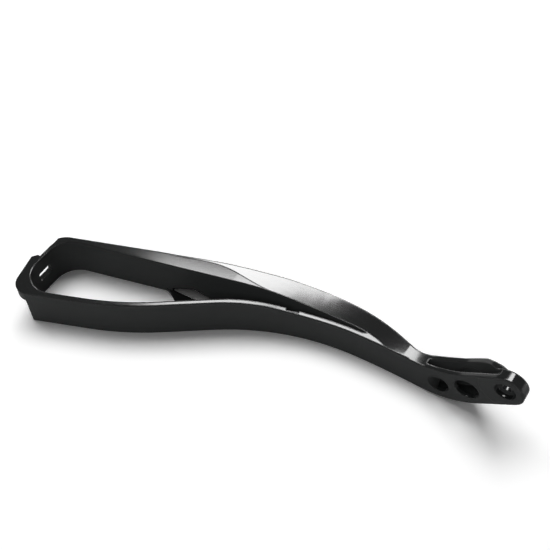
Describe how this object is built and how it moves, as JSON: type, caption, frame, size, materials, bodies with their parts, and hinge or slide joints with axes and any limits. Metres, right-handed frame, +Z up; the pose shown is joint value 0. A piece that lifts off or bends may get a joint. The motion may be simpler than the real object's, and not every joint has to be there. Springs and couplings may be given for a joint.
{
  "type": "motorcycle chain slider",
  "caption": "Black moulded chain slider with a closed loop that wraps the swingarm, a curved rubbing strip and a raised, drilled tail for its fixing bolt.",
  "frame": {"origin": "middle of the tail's bolt hole, on its axis", "axes": "X runs along the slider from the loop (-X) to the tail bolt, Y runs along the bolt hole from the near strip to the far strip, Z runs up across the strip's width as the slider lies on its edge"},
  "size_m": [0.3556, 0.1283, 0.0628],
  "materials": {
    "black_plastic": "satin black moulded plastic"
  },
  "bodies": {
    "root": {"chain_slider": "black_plastic"}
  },
  "joints": []
}
